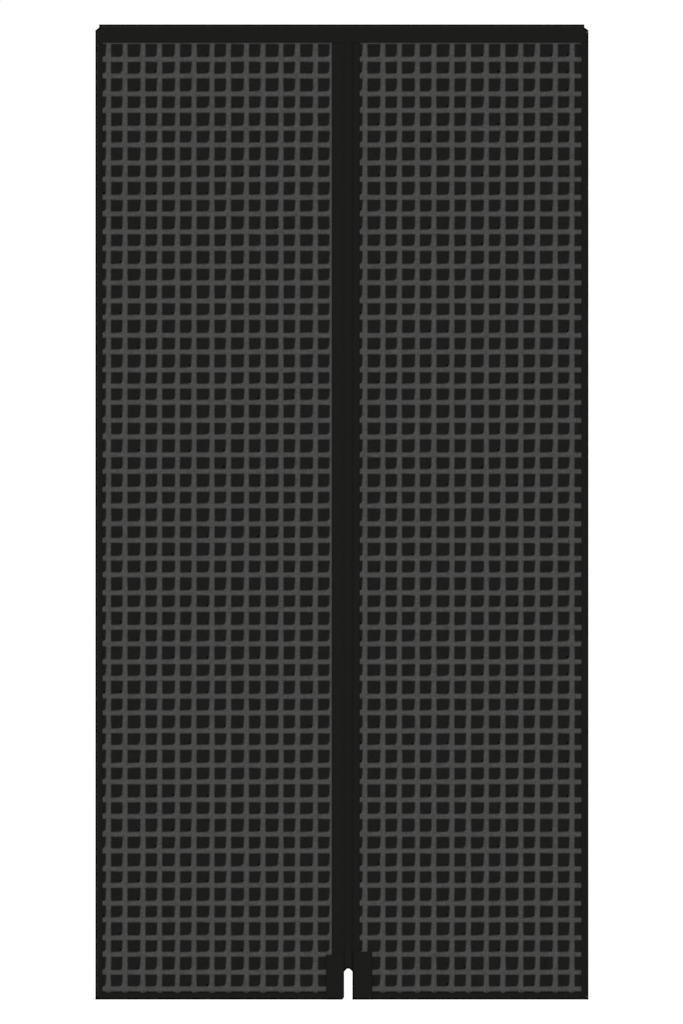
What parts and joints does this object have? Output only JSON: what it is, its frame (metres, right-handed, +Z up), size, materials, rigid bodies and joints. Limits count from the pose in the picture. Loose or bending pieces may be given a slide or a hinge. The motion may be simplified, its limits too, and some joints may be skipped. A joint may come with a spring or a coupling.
{
  "type": "magnetic insect screen",
  "caption": "Black net insect screen for a doorway: paired wings hang from a taped header and close in a lapped seam of hidden magnets, with hook and loop tape behind.",
  "frame": {"origin": "middle of the back face of the header's hook strip, in the plane of the door frame that it is stuck to", "axes": "+Z up the screen, +Y from the screen's front to the door frame, +X to the right seen from the front"},
  "size_m": [1.111, 0.0094, 2.2],
  "materials": {
    "black_tape": "matt woven polyester tape",
    "net": "matt black net with a grey square lattice",
    "magnet": "nickel plated",
    "steel": "zinc plated",
    "loop_tape": "brushed loop pile",
    "hook_tape": "moulded hooks, adhesive back"
  },
  "bodies": {
    "root": {"header_tape": "black_tape", "left_side_binding": "black_tape", "right_side_binding": "black_tape", "left_bottom_hem": "black_tape", "right_bottom_hem": "black_tape", "left_closing_strip": "black_tape", "right_closing_strip": "black_tape", "left_corner_patch": "black_tape", "right_corner_patch": "black_tape", "left_mesh_panel": "net", "right_mesh_panel": "net", "left_magnet_01": "magnet", "left_magnet_02": "magnet", "left_magnet_03": "magnet", "left_magnet_04": "magnet", "left_magnet_05": "magnet", "left_magnet_06": "magnet", "left_magnet_07": "magnet", "left_magnet_08": "magnet", "left_magnet_09": "magnet", "left_magnet_10": "magnet", "left_magnet_11": "magnet", "left_magnet_12": "magnet", "left_magnet_13": "magnet", "right_magnet_01": "magnet", "right_magnet_02": "magnet", "right_magnet_03": "magnet", "right_magnet_04": "magnet", "right_magnet_05": "magnet", "right_magnet_06": "magnet", "right_magnet_07": "magnet", "right_magnet_08": "magnet", "right_magnet_09": "magnet", "right_magnet_10": "magnet", "right_magnet_11": "magnet", "right_magnet_12": "magnet", "right_magnet_13": "magnet", "left_hem_weight_1": "steel", "left_hem_weight_2": "steel", "left_hem_weight_3": "steel", "right_hem_weight_1": "steel", "right_hem_weight_2": "steel", "right_hem_weight_3": "steel", "left_corner_weight": "steel", "right_corner_weight": "steel", "header_loop_strip": "loop_tape", "left_loop_strip": "loop_tape", "right_loop_strip": "loop_tape", "header_hook_strip": "hook_tape", "left_hook_strip": "hook_tape", "right_hook_strip": "hook_tape"}
  },
  "joints": []
}
